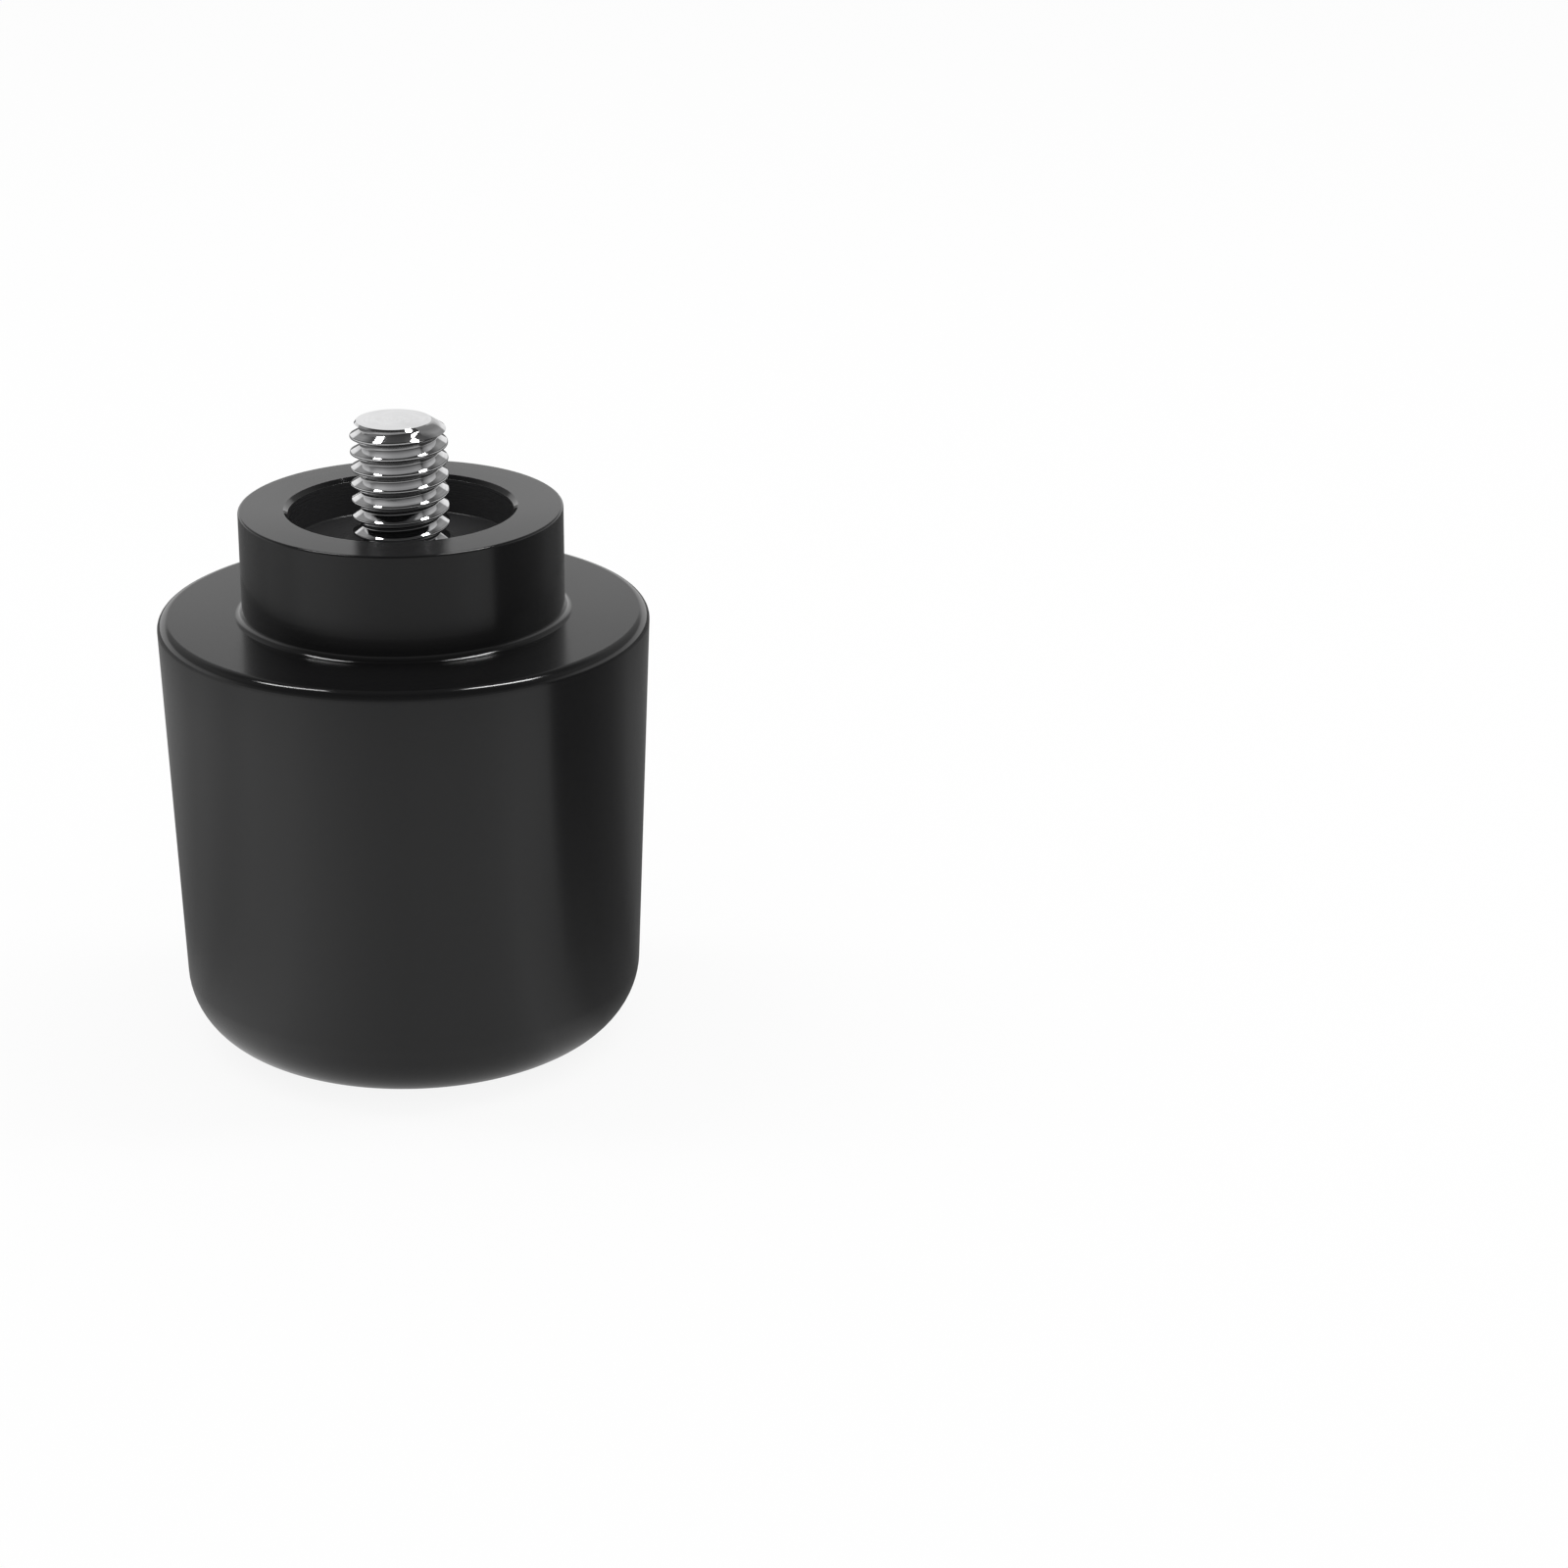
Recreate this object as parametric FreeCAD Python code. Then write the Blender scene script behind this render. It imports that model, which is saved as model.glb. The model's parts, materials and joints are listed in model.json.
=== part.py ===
import FreeCAD, Part
import math
import os

# Bar end weight: a turned weight that closes the end of a handlebar, with a threaded stud
# that screws into the bar. Lengths are in millimetres and angles in degrees. Z is the
# turning axis, the outer end rests on Z = 0 and the stud points up.

# Weight: the tapered slug that shows beyond the grip
WEIGHT_LENGTH = 27.25
SHOULDER_DIAMETER = 30.0
SIDE_TAPER_ANGLE = 2.15
OUTER_END_ROUND = 4.45
SHOULDER_EDGE_CHAMFER = 0.35

# Collar: the smaller step that enters the end of the grip
COLLAR_DIAMETER = 19.65
COLLAR_HEIGHT = 6.6
COLLAR_WALL = 3.0
COLLAR_ROOT_FILLET = 0.45
COLLAR_EDGE_CHAMFER = 0.15

# Recess: the flat-bottomed pocket in the collar, round the foot of the stud
RECESS_DEPTH = 2.4
RECESS_MOUTH_CHAMFER = 0.25
RECESS_CORNER_CHAMFER = 0.3

# Stud: a fully threaded rod with chamfered ends. Its free stretch is drawn at the crests of
# the thread, and the stretch in the hole at the middle of the flanks, where the threads bear.
STUD_DIAMETER = 5.9
STUD_LENGTH = 20.0
STUD_STAND_OUT = 5.45
STUD_END_CHAMFER = 0.65
CREST_TO_MID_FLANK = 0.32

# Hole: blind, tapped and countersunk, drawn at the middle of its thread's flanks too
THREAD_CLEARANCE = 0.05
HOLE_END_GAP = 1.0
COUNTERSINK_WIDTH = 0.8
COUNTERSINK_ANGLE = 90.0
DRILL_POINT_ANGLE = 118.0

# Heights of the main faces above the outer end
shoulder_z = WEIGHT_LENGTH
collar_z = shoulder_z + COLLAR_HEIGHT
recess_z = collar_z - RECESS_DEPTH
stud_tip_z = collar_z + STUD_STAND_OUT
stud_foot_z = stud_tip_z - STUD_LENGTH

# Radii of the stud
crest_radius = STUD_DIAMETER / 2
mid_flank_radius = crest_radius - CREST_TO_MID_FLANK


def cone_depth(radius, full_angle):
    """Depth of a cone that narrows by this radius."""
    return radius / math.tan(math.radians(full_angle / 2))


def corner_arc(before, corner, after, rounding):
    """Arc that rounds a corner, tangent to the lines from it to its two neighbours."""
    to_before = (before - corner).normalize()
    to_after = (after - corner).normalize()
    half_corner = to_before.getAngle(to_after) / 2
    tangent_length = rounding / math.tan(half_corner)
    corner_to_arc = rounding / math.sin(half_corner) - rounding
    inward = (to_before + to_after).normalize()
    return Part.Arc(
        corner + to_before * tangent_length,
        corner + inward * corner_to_arc,
        corner + to_after * tangent_length,
    )


def turn(corners):
    """Revolve a closed outline about Z. A corner is (radius, height, rounding), 0 if sharp."""
    points = [FreeCAD.Vector(radius, 0, height) for radius, height, rounding in corners]
    edges = []
    reached = points[-1]
    for index, (radius, height, rounding) in enumerate(corners):
        corner = points[index]
        if rounding:
            after = points[(index + 1) % len(points)]
            arc = corner_arc(points[index - 1], corner, after, rounding)
            edges.append(Part.LineSegment(reached, arc.StartPoint).toShape())
            edges.append(arc.toShape())
            reached = arc.EndPoint
        else:
            edges.append(Part.LineSegment(reached, corner).toShape())
            reached = corner
    outline = Part.Face(Part.Wire(edges))
    return outline.revolve(FreeCAD.Vector(0, 0, 0), FreeCAD.Vector(0, 0, 1), 360)


def weight_body():
    """The weight, its collar, the recess and the blind stud hole, turned as one piece."""
    shoulder_radius = SHOULDER_DIAMETER / 2
    outer_end_radius = shoulder_radius - WEIGHT_LENGTH * math.tan(math.radians(SIDE_TAPER_ANGLE))
    collar_radius = COLLAR_DIAMETER / 2
    recess_radius = collar_radius - COLLAR_WALL
    hole_radius = mid_flank_radius + THREAD_CLEARANCE
    countersink_radius = crest_radius + COUNTERSINK_WIDTH
    countersink_z = recess_z - cone_depth(countersink_radius - hole_radius, COUNTERSINK_ANGLE)
    hole_end_z = stud_foot_z - HOLE_END_GAP
    drill_point_z = hole_end_z - cone_depth(hole_radius, DRILL_POINT_ANGLE)
    return turn([
        (0, 0, 0),
        (outer_end_radius, 0, OUTER_END_ROUND),
        (shoulder_radius, shoulder_z - SHOULDER_EDGE_CHAMFER, 0),
        (shoulder_radius - SHOULDER_EDGE_CHAMFER, shoulder_z, 0),
        (collar_radius, shoulder_z, COLLAR_ROOT_FILLET),
        (collar_radius, collar_z - COLLAR_EDGE_CHAMFER, 0),
        (collar_radius - COLLAR_EDGE_CHAMFER, collar_z, 0),
        (recess_radius + RECESS_MOUTH_CHAMFER, collar_z, 0),
        (recess_radius, collar_z - RECESS_MOUTH_CHAMFER, 0),
        (recess_radius, recess_z + RECESS_CORNER_CHAMFER, 0),
        (recess_radius - RECESS_CORNER_CHAMFER, recess_z, 0),
        (countersink_radius, recess_z, 0),
        (hole_radius, countersink_z, 0),
        (hole_radius, hole_end_z, 0),
        (0, drill_point_z, 0),
    ])


def threaded_stud():
    """The stud, from its foot in the blind hole to its free tip."""
    end_radius = crest_radius - STUD_END_CHAMFER
    return turn([
        (0, stud_foot_z, 0),
        (end_radius, stud_foot_z, 0),
        (mid_flank_radius, stud_foot_z + mid_flank_radius - end_radius, 0),
        (mid_flank_radius, recess_z, 0),
        (crest_radius, recess_z, 0),
        (crest_radius, stud_tip_z - STUD_END_CHAMFER, 0),
        (end_radius, stud_tip_z, 0),
        (0, stud_tip_z, 0),
    ])


os.makedirs("parts", exist_ok=True)
weight_body().exportStep("parts/weight_body.step")
threaded_stud().exportStep("parts/threaded_stud.step")
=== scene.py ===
import json
import math
import bmesh
import bpy
from mathutils import Matrix, Vector


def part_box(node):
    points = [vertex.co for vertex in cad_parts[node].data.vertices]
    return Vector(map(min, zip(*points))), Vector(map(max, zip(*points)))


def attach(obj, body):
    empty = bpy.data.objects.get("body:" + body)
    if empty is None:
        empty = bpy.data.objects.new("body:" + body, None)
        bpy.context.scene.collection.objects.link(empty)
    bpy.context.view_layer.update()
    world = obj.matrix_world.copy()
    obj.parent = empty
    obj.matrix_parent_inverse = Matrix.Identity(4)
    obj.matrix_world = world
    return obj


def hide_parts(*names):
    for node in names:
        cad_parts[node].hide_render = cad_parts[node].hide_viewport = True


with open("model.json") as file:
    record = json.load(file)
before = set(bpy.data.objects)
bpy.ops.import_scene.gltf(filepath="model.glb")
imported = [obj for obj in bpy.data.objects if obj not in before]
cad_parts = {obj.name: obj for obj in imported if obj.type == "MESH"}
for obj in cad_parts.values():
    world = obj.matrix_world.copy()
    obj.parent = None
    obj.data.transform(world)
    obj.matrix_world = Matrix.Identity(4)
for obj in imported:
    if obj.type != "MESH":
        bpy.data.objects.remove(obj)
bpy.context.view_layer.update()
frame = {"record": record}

# Turned weight. The tapered slug, its collar and the recess in the collar are one piece of
# aluminium bar, turned in a lathe, drilled and tapped for the stud, and anodised black.
# It is modelled in millimetres, like its drawing, and ends in metres.
MM = 0.001
mounts = {mount["name"]: mount for mount in frame["record"]["mounts"]}
weight_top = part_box("weight_body")[1] / MM
stud_foot, stud_tip = (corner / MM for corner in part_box("threaded_stud"))

SIDES_AROUND = 256
NEAR = 0.01
RIGHT_ANGLE = math.pi / 2
shoulder_radius = weight_top.x
shoulder_z = mounts["shoulder"]["pos_m"][2] / MM
collar_radius = mounts["collar"]["dims"]["r_mm"]
collar_z = weight_top.z
SIDE_TAPER = math.radians(2.15)
RECESS_RADIUS = 6.825
RECESS_DEPTH = 2.4
COUNTERSINK_RADIUS = 3.75
DRILL_RADIUS = 2.5
DRILL_POINT = math.radians(118)
HOLE_END_GAP = 1.0
END_ROUND = 4.45
RIM_ROUND = 0.65
COLLAR_ROOT_FILLET = 0.45
COLLAR_EDGE_ROUND = 0.15
RECESS_MOUTH_CHAMFER = 0.25
RECESS_CORNER_FILLET = 0.07
COUNTERSINK_EDGE_ROUND = 0.06
recess_z = collar_z - RECESS_DEPTH
end_radius = shoulder_radius - shoulder_z * math.tan(SIDE_TAPER)
countersink_z = recess_z - (COUNTERSINK_RADIUS - DRILL_RADIUS)
drill_z = stud_foot.z - HOLE_END_GAP
drill_point_z = drill_z - DRILL_RADIUS / math.tan(DRILL_POINT / 2)


def grow(height, scale=1.0):
    """Extrudes the selected end face by this height and scales it about the turning axis."""
    bpy.ops.mesh.extrude_region_move(TRANSFORM_OT_translate={"value": (0, 0, height)})
    bpy.ops.transform.resize(value=(scale, scale, 1), center_override=(0, 0, 0))


def round_corner(radius, height, rounding, corner, segments):
    """Rounds the turned corner of this radius and height, where two faces meet at an angle."""
    bpy.ops.mesh.select_mode(type="EDGE")
    bpy.ops.mesh.select_all(action="DESELECT")
    mesh = bmesh.from_edit_mesh(bpy.context.object.data)
    for edge in mesh.edges:
        edge.select = all(
            math.dist((math.hypot(end.co.x, end.co.y), end.co.z), (radius, height)) < NEAR
            for end in edge.verts
        )
    tangent_length = rounding / math.tan(corner / 2)
    bpy.ops.mesh.bevel(offset=tangent_length, segments=segments, clamp_overlap=False)


def close_ends(middle):
    """Closes the open end below this middle height with a fan of triangles, then the other."""
    for side in (-1, 1):
        bpy.ops.mesh.select_all(action="DESELECT")
        mesh = bmesh.from_edit_mesh(bpy.context.object.data)
        for edge in mesh.edges:
            height = (edge.verts[0].co.z - middle) * side
            edge.select = edge.is_boundary and height > 0
        bpy.ops.mesh.extrude_edges_move()
        bpy.ops.mesh.merge(type="CENTER")


def threaded_rod(name, crest, low, high):
    """A right-hand thread of this crest radius, closed at both ends, from low to high."""
    root = crest - THREAD_DEPTH
    flank = THREAD_DEPTH * math.tan(THREAD_ANGLE / 2)
    half_root = (PITCH - CREST_WIDTH - 2 * flank) / 2
    start = FIRST_CREST_Z - PITCH / 2 - PITCH * math.ceil((FIRST_CREST_Z - low) / PITCH)
    bpy.ops.object.select_all(action="DESELECT")
    bpy.ops.mesh.primitive_plane_add(size=PITCH)
    rod = bpy.context.object
    rod.name = name
    bpy.ops.object.mode_set(mode="EDIT")
    bpy.ops.mesh.select_mode(type="VERT")
    bpy.ops.mesh.merge(type="CENTER")
    bpy.ops.transform.translate(value=(root, 0, start))
    for out, up in (
        (0, half_root),
        (THREAD_DEPTH, flank),
        (0, CREST_WIDTH),
        (-THREAD_DEPTH, flank),
        (0, half_root),
    ):
        bpy.ops.mesh.extrude_vertices_move(TRANSFORM_OT_translate={"value": (out, 0, up)})
    outline = bmesh.from_edit_mesh(rod.data)
    for point in outline.verts:
        point.select = len(point.link_edges) == 2
    bpy.ops.mesh.bevel(offset=THREAD_ROUND, segments=2, affect="VERTICES")
    bpy.ops.object.mode_set(mode="OBJECT")
    wind = rod.modifiers.new("wind", "SCREW")
    wind.screw_offset = PITCH
    wind.iterations = math.ceil((high - start) / PITCH) + 1
    wind.steps = THREAD_STEPS
    wind.render_steps = THREAD_STEPS
    bpy.ops.object.modifier_apply(modifier=wind.name)
    bpy.ops.object.mode_set(mode="EDIT")
    bpy.ops.mesh.select_all(action="SELECT")
    bpy.ops.mesh.remove_doubles(threshold=NEAR / 10)
    close_ends((low + high) / 2)
    bpy.ops.mesh.select_all(action="SELECT")
    bpy.ops.mesh.normals_make_consistent(inside=False)
    bpy.ops.object.mode_set(mode="OBJECT")
    return rod


def combine(piece, tool, operation):
    """Cuts the piece with the tool, or keeps what both share, and deletes the tool."""
    cut = piece.modifiers.new("cut", "BOOLEAN")
    cut.operation = operation
    cut.solver = "EXACT"
    cut.object = tool
    bpy.context.view_layer.objects.active = piece
    bpy.ops.object.modifier_apply(modifier=cut.name)
    bpy.data.objects.remove(tool)


def finish_shape(piece, crease):
    """Brings the piece to metres and shades it smooth, but for edges over this angle."""
    bpy.ops.object.select_all(action="DESELECT")
    piece.select_set(True)
    bpy.context.view_layer.objects.active = piece
    piece.scale = (MM, MM, MM)
    bpy.ops.object.transform_apply(location=True, rotation=True, scale=True)
    bpy.ops.object.shade_smooth_by_angle(angle=crease)
    even = piece.modifiers.new("even", "WEIGHTED_NORMAL")
    even.keep_sharp = True
    even.weight = 100
    bpy.ops.object.modifier_apply(modifier=even.name)


PITCH = 1.0
THREAD_DEPTH = 0.61
THREAD_ANGLE = math.radians(60)
CREST_WIDTH = 0.125
THREAD_ROUND = 0.04
THREAD_STEPS = 96
FIRST_CREST_Z = 27.85
TAP_CLEARANCE = 0.03
stud_radius = mounts["stud"]["dims"]["r_mm"]

bpy.ops.object.select_all(action="DESELECT")
bpy.ops.mesh.primitive_circle_add(vertices=SIDES_AROUND, radius=end_radius, fill_type="NGON")
weight = bpy.context.object
weight.name = "turned_weight"
bpy.ops.object.mode_set(mode="EDIT")
bpy.ops.mesh.select_mode(type="FACE")
bpy.ops.mesh.select_all(action="SELECT")
grow(shoulder_z, shoulder_radius / end_radius)
bpy.ops.mesh.inset(thickness=shoulder_radius - collar_radius)
grow(collar_z - shoulder_z)
bpy.ops.mesh.inset(thickness=collar_radius - RECESS_RADIUS)
grow(-RECESS_DEPTH)
bpy.ops.mesh.inset(thickness=RECESS_RADIUS - COUNTERSINK_RADIUS)
grow(countersink_z - recess_z, DRILL_RADIUS / COUNTERSINK_RADIUS)
grow(drill_z - countersink_z)
grow(drill_point_z - drill_z)
bpy.ops.mesh.merge(type="COLLAPSE")
bpy.ops.mesh.select_all(action="SELECT")
bpy.ops.mesh.normals_make_consistent(inside=False)
for radius, height, rounding, corner, segments in (
    (end_radius, 0, END_ROUND, RIGHT_ANGLE + SIDE_TAPER, 20),
    (shoulder_radius, shoulder_z, RIM_ROUND, RIGHT_ANGLE - SIDE_TAPER, 8),
    (collar_radius, shoulder_z, COLLAR_ROOT_FILLET, RIGHT_ANGLE, 10),
    (collar_radius, collar_z, COLLAR_EDGE_ROUND, RIGHT_ANGLE, 4),
    (RECESS_RADIUS, collar_z, RECESS_MOUTH_CHAMFER, RIGHT_ANGLE, 1),
    (RECESS_RADIUS, recess_z, RECESS_CORNER_FILLET, RIGHT_ANGLE, 5),
    (COUNTERSINK_RADIUS, recess_z, COUNTERSINK_EDGE_ROUND, RIGHT_ANGLE * 1.5, 2),
):
    round_corner(radius, height, rounding, corner, segments)
bpy.ops.object.mode_set(mode="OBJECT")
tap = threaded_rod("tap", stud_radius + TAP_CLEARANCE, stud_foot.z, countersink_z)
combine(weight, tap, "DIFFERENCE")
finish_shape(weight, crease=math.radians(28))


class Shade:
    """One output of a shader's nodes. Arithmetic on it adds its Math nodes."""

    def __init__(self, output):
        self.output = output

    def node(self, kind, settings, values, out=0):
        """Adds a node: its settings first, then its values or links, and gives one output."""
        tree = self.output.id_data
        made = tree.nodes.new(kind)
        stops = settings.pop("stops", None)
        for name, setting in settings.items():
            setattr(made, name, setting)
        if stops:
            for index, (place, colour) in enumerate(stops):
                ramp = made.color_ramp.elements
                stop = ramp[index] if index < 2 else ramp.new(place)
                stop.position = place
                stop.color = colour
        for name, value in values.items():
            if isinstance(value, Shade):
                tree.links.new(value.output, made.inputs[name])
            else:
                made.inputs[name].default_value = value
        return Shade(made.outputs[out])

    def math(self, operation, *others):
        """Adds a Math node for this value and the others."""
        values = dict(enumerate((self, *others)))
        return self.node("ShaderNodeMath", {"operation": operation}, values)

    def __add__(self, other):
        return self.math("ADD", other)

    __radd__ = __add__

    def __sub__(self, other):
        return self.math("SUBTRACT", other)

    def __rsub__(self, other):
        return (self * -1) + other

    def __mul__(self, other):
        return self.math("MULTIPLY", other)

    __rmul__ = __mul__

    def __truediv__(self, other):
        return self.math("DIVIDE", other)

    def __pow__(self, other):
        return self.math("POWER", other)

    def mix(self, low, high):
        """The colour between low and high that this value stands for."""
        values = {"Factor": self, "A": low, "B": high}
        return self.node("ShaderNodeMix", {"data_type": "RGBA"}, values, out=2)


def start_material(name, constants):
    """A new material. Gives it, its surface shader, and its object-space point as a Shade."""
    material = bpy.data.materials.new(name)
    material.use_nodes = True
    surface = material.node_tree.nodes["Principled BSDF"]
    for socket, value in constants.items():
        surface.inputs[socket].default_value = value
    place = material.node_tree.nodes.new("ShaderNodeTexCoord")
    return material, surface, Shade(place.outputs["Object"])


def link(shade, surface, socket):
    """Feeds a socket of the surface shader."""
    surface.id_data.links.new(shade.output, surface.inputs[socket])


def turned(point):
    """Radius, angle and height of the object-space point, in millimetres and turns."""
    x = point.node("ShaderNodeSeparateXYZ", {}, {"Vector": point}, out=0)
    y = Shade(x.output.node.outputs[1])
    z = Shade(x.output.node.outputs[2])
    radius = (x * x + y * y) ** 0.5
    return radius / MM, y.math("ARCTAN2", x) / math.tau, z / MM


def noise(first, second, third, scale, detail):
    """A soft random value round 0.5, from three coordinates."""
    spot = first.node("ShaderNodeCombineXYZ", {}, {0: first, 1: second, 2: third})
    values = {"Vector": spot, "Scale": scale, "Detail": detail}
    return spot.node("ShaderNodeTexNoise", {"noise_dimensions": "3D"}, values)


# Black anodising: a thin glassy dyed skin over the lathe's fine turning lines. The pocket's
# lighter grey is painted light, standing for light that reaches into the recess; the pocket is
# also duller, and its mouth, the rim and the collar's root are cut smoother.
LINES_PER_MM = 9
GROOVE_DEPTH = 0.01 * MM
DEEP_DYE = (0.006, 0.006, 0.0063, 1)
THIN_DYE = (0.009, 0.009, 0.0093, 1)
# Painted light: the pocket's lighter grey stands for light that reaches into the recess.
POCKET_PAINTED_LIGHT = (0.034, 0.034, 0.035, 1)
TURNED_ROUGHNESS = 0.13
POCKET_DULLER = 0.1
MOUTH_SMOOTHER = 0.13
EDGES_SMOOTHER = 0.06
anodised, surface, point = start_material(
    "black_anodising",
    {"IOR": 1.38, "Metallic": 0.0, "Anisotropic": 0.65, "Anisotropic Rotation": 0.25},
)
radius, turn, height = turned(point)
lines = noise(radius * LINES_PER_MM, height * LINES_PER_MM, turn * 0.6, 1.0, 3.0)
clouds = noise(radius, height, turn * 9, 0.35, 2.0)
above = height.math("GREATER_THAN", shoulder_z - NEAR)
pocket = radius.math("LESS_THAN", RECESS_RADIUS + NEAR) * above
mouth = radius.math("LESS_THAN", RECESS_RADIUS + RECESS_MOUTH_CHAMFER) * above - pocket
corner = radius + height
rim = corner.math("GREATER_THAN", shoulder_radius + shoulder_z - RIM_ROUND)
rim = rim * radius.math("GREATER_THAN", (shoulder_radius + collar_radius) / 2)
root = corner.math("LESS_THAN", collar_radius + shoulder_z + COLLAR_ROOT_FILLET)
root = root * radius.math("GREATER_THAN", collar_radius - NEAR) * above
dyed = ((lines + clouds) * 0.5).mix(DEEP_DYE, THIN_DYE)
# The pocket gets its painted light here.
link(pocket.mix(dyed, POCKET_PAINTED_LIGHT), surface, "Base Color")
roughness = TURNED_ROUGHNESS + lines * 0.06 + clouds * 0.04 + pocket * POCKET_DULLER
roughness = roughness - mouth * MOUTH_SMOOTHER - (rim + root) * EDGES_SMOOTHER
link(roughness, surface, "Roughness")
grooves = lines.node(
    "ShaderNodeBump", {}, {"Strength": 0.12, "Distance": GROOVE_DEPTH, "Height": lines}
)
link(grooves, surface, "Normal")
weight.data.materials.clear()
weight.data.materials.append(anodised)
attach(weight, "root")
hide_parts("weight_body")

# Threaded stud. A length of rolled M6 rod of zinc plated steel, cut off and chamfered a
# little off centre at its free end, and screwed into the tapped hole.
STUD_CHAMFER = 0.65
TIP_RADIUS = 2.26
TIP_OFFSET = -0.28
BLANK_MARGIN = 0.05
blank_radius = stud_radius + BLANK_MARGIN
bpy.ops.object.select_all(action="DESELECT")
bpy.ops.mesh.primitive_circle_add(
    vertices=THREAD_STEPS,
    radius=stud_radius - STUD_CHAMFER,
    fill_type="NGON",
    location=(0, 0, stud_foot.z),
)
stud = bpy.context.object
bpy.ops.object.transform_apply()
stud.name = "zinc_stud"
bpy.ops.object.mode_set(mode="EDIT")
bpy.ops.mesh.select_mode(type="FACE")
bpy.ops.mesh.select_all(action="SELECT")
grow(STUD_CHAMFER, blank_radius / (stud_radius - STUD_CHAMFER))
grow(stud_tip.z - stud_foot.z - 2 * STUD_CHAMFER)
grow(STUD_CHAMFER, TIP_RADIUS / blank_radius)
bpy.ops.transform.translate(value=(TIP_OFFSET, 0, 0))
bpy.ops.mesh.select_all(action="SELECT")
bpy.ops.mesh.normals_make_consistent(inside=False)
bpy.ops.object.mode_set(mode="OBJECT")
rod = threaded_rod("rod", stud_radius, stud_foot.z - PITCH, stud_tip.z + PITCH)
combine(stud, rod, "INTERSECT")
finish_shape(stud, crease=math.radians(35))


def shift(value, start, end, first, last):
    """Goes from first to last as the value goes from start to end, and stays there."""
    names = ("Value", "From Min", "From Max", "To Min", "To Max")
    return value.node("ShaderNodeMapRange", {}, dict(zip(names, (value, start, end, first, last))))


# Zinc plating: bright on the flanks, with painted shade darkening the roots and a painted dark
# line beside each crest, painted shade that dims the lamps' glint there.
STREAKS_PER_MM = 9
STREAK_DEPTH = 0.02 * MM
DULL_ZINC = (0.42, 0.42, 0.425, 1)
BRIGHT_ZINC = (0.75, 0.75, 0.755, 1)
# Colour of the painted shade in the roots and beside the crests.
PAINTED_SHADE_ZINC = (0.1, 0.1, 0.101, 1)
# Painted shade in the thread's roots: the share of the shaded colour at the root.
ROOT_PAINTED_SHADE = 0.5
# A painted dark line beside each crest: painted shade that dims the lamps' glint there.
SHADED_LINE_RADIUS = stud_radius - 0.028
SHADED_LINE_HALF_WIDTH = 0.01
SHADED_LINE_FADE = 0.008
PLATED_ROUGHNESS = 0.02
zinc, surface, point = start_material("bright_zinc", {"Metallic": 1.0})
radius, turn, height = turned(point)
along = (height - turn * PITCH) * STREAKS_PER_MM
streaks = noise(radius * STREAKS_PER_MM, along, turn * 5, 1.0, 3.0)
bloom = noise(radius, height, turn * 6, 0.9, 3.0)
root_radius = stud_radius - THREAD_DEPTH
# Painted shade: the plating darkens towards the thread's roots.
root_shade = shift(radius, root_radius, root_radius + THREAD_DEPTH / 2, ROOT_PAINTED_SHADE, 0.0)
off_line = (radius - SHADED_LINE_RADIUS).math("ABSOLUTE")
# The painted shade line, darkest on its middle radius.
shaded_line = shift(off_line, SHADED_LINE_HALF_WIDTH, SHADED_LINE_HALF_WIDTH + SHADED_LINE_FADE, 1.0, 0.0)
below_tip = height.math("LESS_THAN", stud_tip.z - NEAR)
plated = (streaks * 0.6 + bloom * 0.4).mix(DULL_ZINC, BRIGHT_ZINC)
# Both painted shades darken the plating below the tip face.
plated = ((root_shade + shaded_line) * below_tip).mix(plated, PAINTED_SHADE_ZINC)
link(plated, surface, "Base Color")
link(PLATED_ROUGHNESS + (streaks + bloom) * 0.02, surface, "Roughness")
rolled = streaks.node(
    "ShaderNodeBump", {}, {"Strength": 0.05, "Distance": STREAK_DEPTH, "Height": streaks}
)
link(rolled, surface, "Normal")
stud.data.materials.clear()
stud.data.materials.append(zinc)
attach(stud, "root")
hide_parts("threaded_stud")


# Studio floor: a white paper sweep. The camera sees it plain white, with the object's faint
# shadow. What the object mirrors of it is painted light, a glow that only reflections see:
# brightest at the left front, dim at the back, with a painted dark stripe to the right and
# painted shade close round the object.
def rays(tree):
    """Two values, 0 or 1: whether a camera or transmission ray asks, and whether a glossy one."""
    camera = Shade(tree.nodes.new("ShaderNodeLightPath").outputs["Is Camera Ray"])
    through = Shade(camera.output.node.outputs["Is Transmission Ray"])
    return camera.math("MAXIMUM", through), Shade(camera.output.node.outputs["Is Glossy Ray"])


FLOOR_SIZE = 4.0
WHITE_SHARE = 0.89
WHITE_LEVEL = 1.45
# Painted levels of the mirrored floor, of which WHITE_LEVEL is plain white; the lower levels
# close by are painted shade. Each row has the degrees round from the front, the level far off
# and the level close by.
PAINTED_REFLECTION_LEVELS = (
    (-180, 0.20, 0.10),
    (-135, 0.36, 0.15),
    (-107, 0.62, 0.28),
    (-96, 0.86, 0.40),
    (-87, 0.97, 0.48),
    (-78, 1.06, 0.66),
    (-65, 1.40, 1.00),
    (-53, 1.43, 1.27),
    (-45, 1.43, 1.36),
    (-30, 1.22, 1.24),
    (-15, 1.05, 1.06),
    (0, 0.97, 0.95),
    (30, 1.00, 0.95),
    (40, 1.05, 0.99),
    (50, 1.16, 1.12),
    (59, 1.15, 0.90),
    (67, 1.02, 0.62),
    (71, 0.22, 0.46),
    (76, 0.14, 0.34),
    (90, 0.14, 0.22),
    (110, 0.22, 0.15),
    (124, 0.32, 0.18),
    (145, 0.22, 0.14),
    (180, 0.20, 0.10),
)
CLOSE_BY = 26
FAR_OFF = 64
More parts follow.
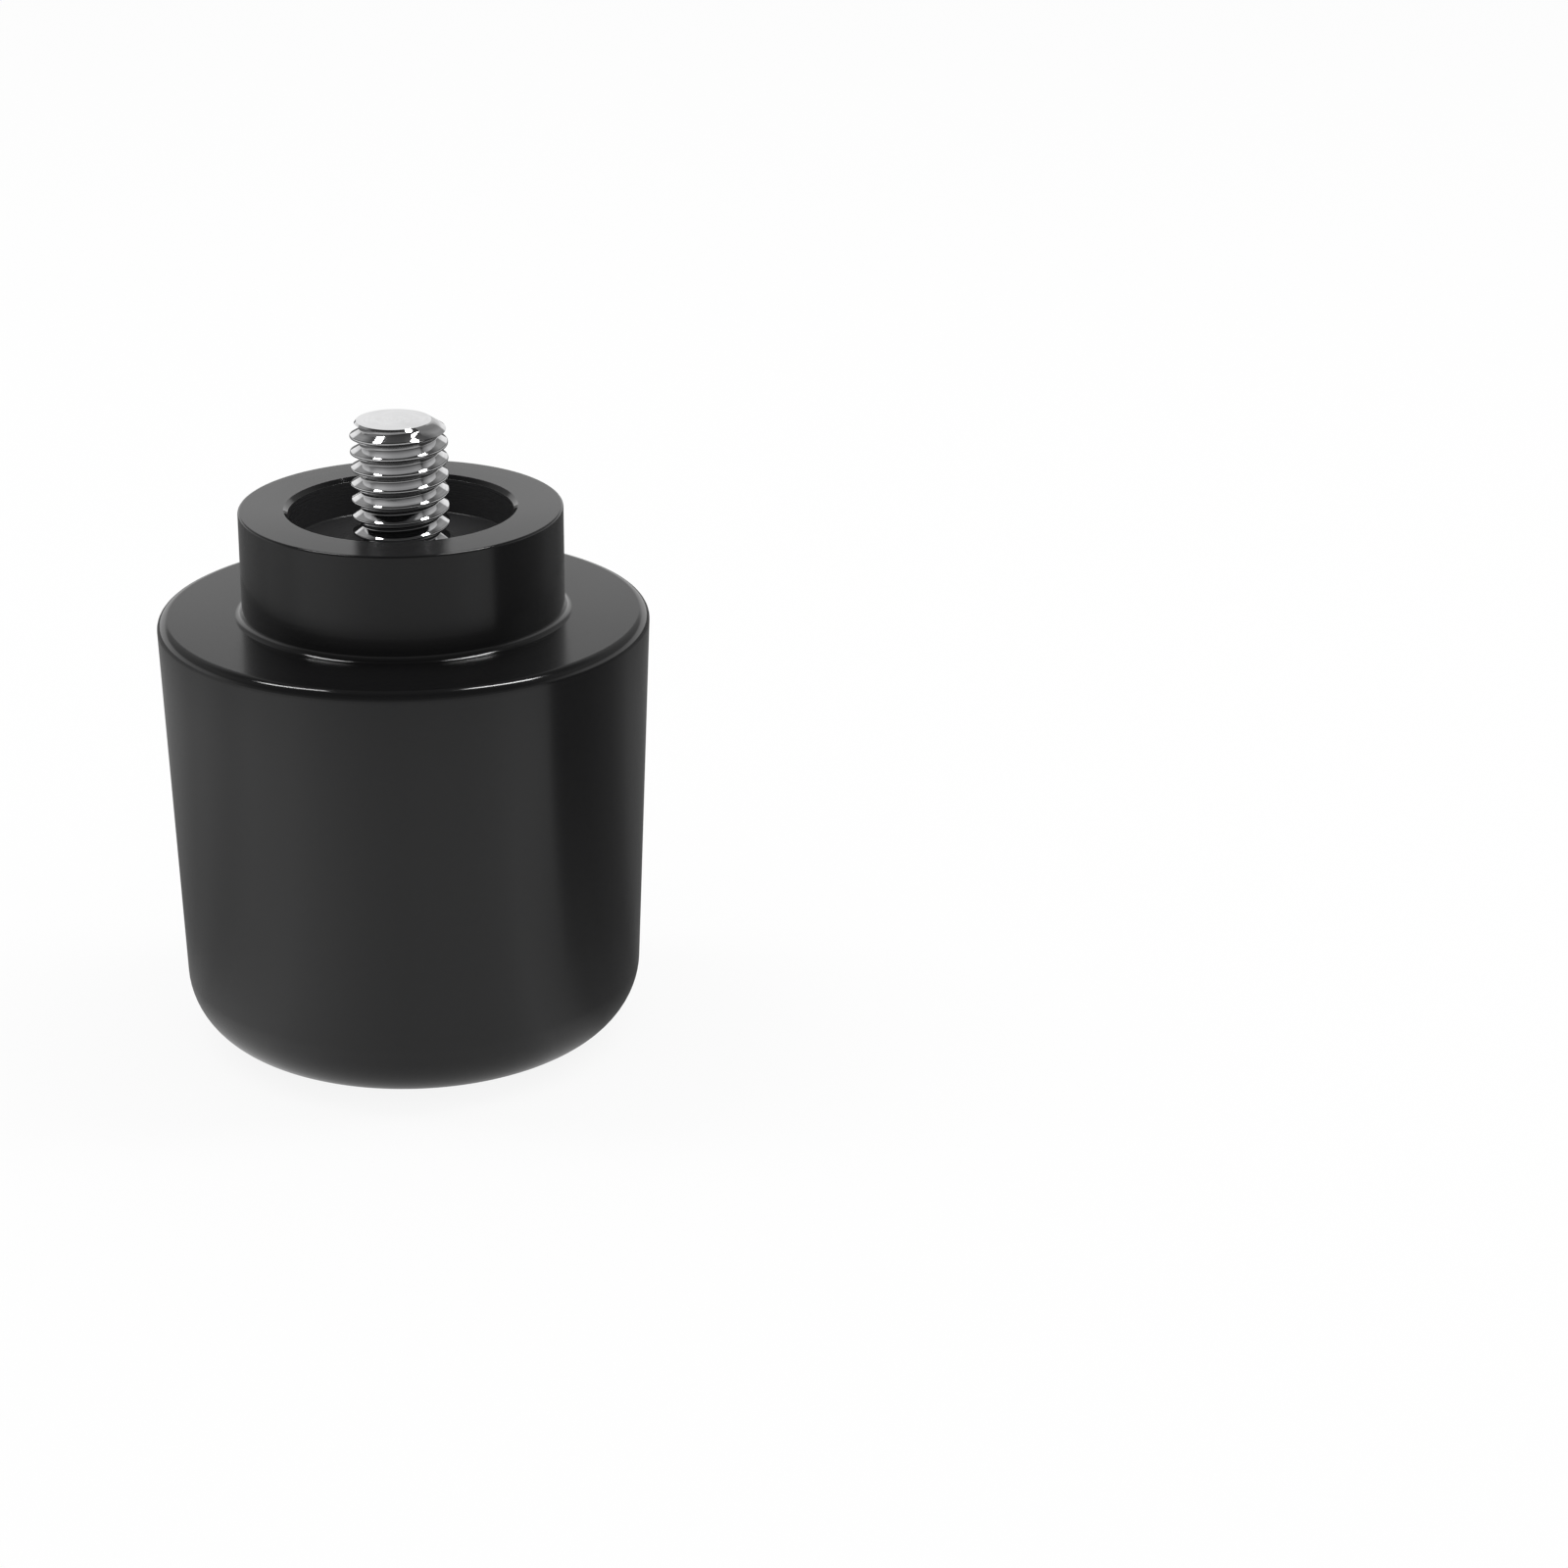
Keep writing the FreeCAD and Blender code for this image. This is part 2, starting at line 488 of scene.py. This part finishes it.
# Painted rings of the mirrored floor, in millimetres from the axis. From the first radius to the
# second, the level's factor goes from the third number to the last. The first ring is painted
# shadow under the object.
PAINTED_REFLECTION_RINGS = (
    (9, 18, 0.4, 1.0),
    (74, 88, 1.36, 0.5),
    (90, 97, 1.0, 2.0),
)
bpy.ops.object.select_all(action="DESELECT")
bpy.ops.mesh.primitive_plane_add(size=FLOOR_SIZE)
floor = bpy.context.object
floor.name = "studio_floor"
paper, matt, point = start_material(
    "white_paper", {"Base Color": (0.95, 0.95, 0.95, 1), "Roughness": 0.9}
)
radius, turn = turned(point)[:2]
direction = (turn + 0.75).math("FRACT")
stops = [
    (angle / 360 + 0.5, (far / WHITE_LEVEL, near / WHITE_LEVEL, 0, 1))
    for angle, far, near in PAINTED_REFLECTION_LEVELS
]
levels = direction.node("ShaderNodeValToRGB", {"stops": stops}, {"Fac": direction})
far = levels.node("ShaderNodeSeparateColor", {}, {"Color": levels}, out=0)
near = Shade(far.output.node.outputs[1])
level = near + (far - near) * shift(radius, CLOSE_BY, FAR_OFF, 0.0, 1.0)
for ring in PAINTED_REFLECTION_RINGS:
    level = level * shift(radius, *ring)
seen, glossy = rays(paper.node_tree)
strength = glossy * (level - 1) + 1
white = seen.node("ShaderNodeEmission", {}, {"Color": (1, 1, 1, 1), "Strength": strength})
share = seen * WHITE_SHARE + glossy
both = share.node("ShaderNodeMixShader", {}, {0: share, 1: Shade(matt.outputs[0]), 2: white})
paper.node_tree.links.new(
    both.output, paper.node_tree.nodes["Material Output"].inputs["Surface"]
)
floor.data.materials.append(paper)

# Studio round the object, which only reflections show: a white wall behind it, dim in front
# and overhead. Its edges are heights of a direction, from 0 for level to 1 for straight up.
AMBIENT = 0.68
WALL_LEVEL = 1.12
UPPER_WALL_LEVEL = 0.4
CEILING_LEVEL = 0.12
FRONT_SHARE = 0.3
WALL_EDGE = (0.29, 0.35)
CEILING_EDGE = (0.6, 0.78)
FRONT_TO_BACK = (-0.35, 0.1)
world = bpy.data.worlds.new("studio")
bpy.context.scene.world = world
world.use_nodes = True
sky = world.node_tree.nodes["Background"]
sky.inputs["Color"].default_value = (1, 1, 1, 1)
facing = Shade(world.node_tree.nodes.new("ShaderNodeTexCoord").outputs["Generated"])
across = facing.node("ShaderNodeSeparateXYZ", {}, {"Vector": facing}, out=0)
back = Shade(across.output.node.outputs[1])
up = Shade(across.output.node.outputs[2])
wall = shift(up, *WALL_EDGE, WALL_LEVEL, UPPER_WALL_LEVEL)
ceiling = shift(up, *CEILING_EDGE, 1.0, CEILING_LEVEL / UPPER_WALL_LEVEL)
mirrored = wall * ceiling * shift(back, *FRONT_TO_BACK, FRONT_SHARE, 1.0)
seen, glossy = rays(world.node_tree)
strength = seen * (1 - AMBIENT) + glossy * (mirrored - AMBIENT) + AMBIENT
link(strength, sky, "Strength")

# Two soft boxes light the object from overhead, left and right. A bright tube before each
# one shows only as the glint on rounded edges and on the thread.
LAMP_DISTANCE = 0.5
LAMP_LEAN = math.radians(7)
for name, width, depth, tilt, power in (
    ("softbox_left", 0.36, 0.10, -30, 0.55),
    ("softbox_right", 0.36, 0.10, 30, 0.55),
    ("tube_left", 0.15, 0.06, -25, 0.7),
    ("tube_right", 0.17, 0.06, 21, 1.2),
):
    lamp = bpy.data.lights.new(name, "AREA")
    lamp.shape = "RECTANGLE"
    lamp.size = width
    lamp.size_y = depth
    lamp.energy = power
    holder = bpy.data.objects.new(name, lamp)
    bpy.context.scene.collection.objects.link(holder)
    holder.rotation_euler = (-LAMP_LEAN, math.radians(tilt), 0)
    holder.location = LAMP_DISTANCE * (holder.rotation_euler.to_matrix() @ Vector((0, 0, 1)))
    holder.visible_diffuse = name.startswith("softbox")
    holder.visible_glossy = name.startswith("tube")

# Camera, at the photograph's viewing angle.
CAMERA_PLACE = Vector((0.02323, -0.24126, 0.10959))
CAMERA_PITCH = math.radians(68.78)
CAMERA_ROLL = math.radians(0.19)
CAMERA_LENS = 95.78
SENSOR_WIDTH = 36
camera = bpy.data.objects.new("camera", bpy.data.cameras.new("camera"))
bpy.context.scene.collection.objects.link(camera)
camera.location = CAMERA_PLACE
aim = Matrix.Rotation(CAMERA_PITCH, 3, "X") @ Matrix.Rotation(CAMERA_ROLL, 3, "Z")
camera.rotation_euler = aim.to_euler()
camera.data.lens = CAMERA_LENS
camera.data.sensor_width = SENSOR_WIDTH
camera.data.clip_start = 0.01
bpy.context.scene.camera = camera
bpy.context.scene.view_settings.view_transform = "Standard"
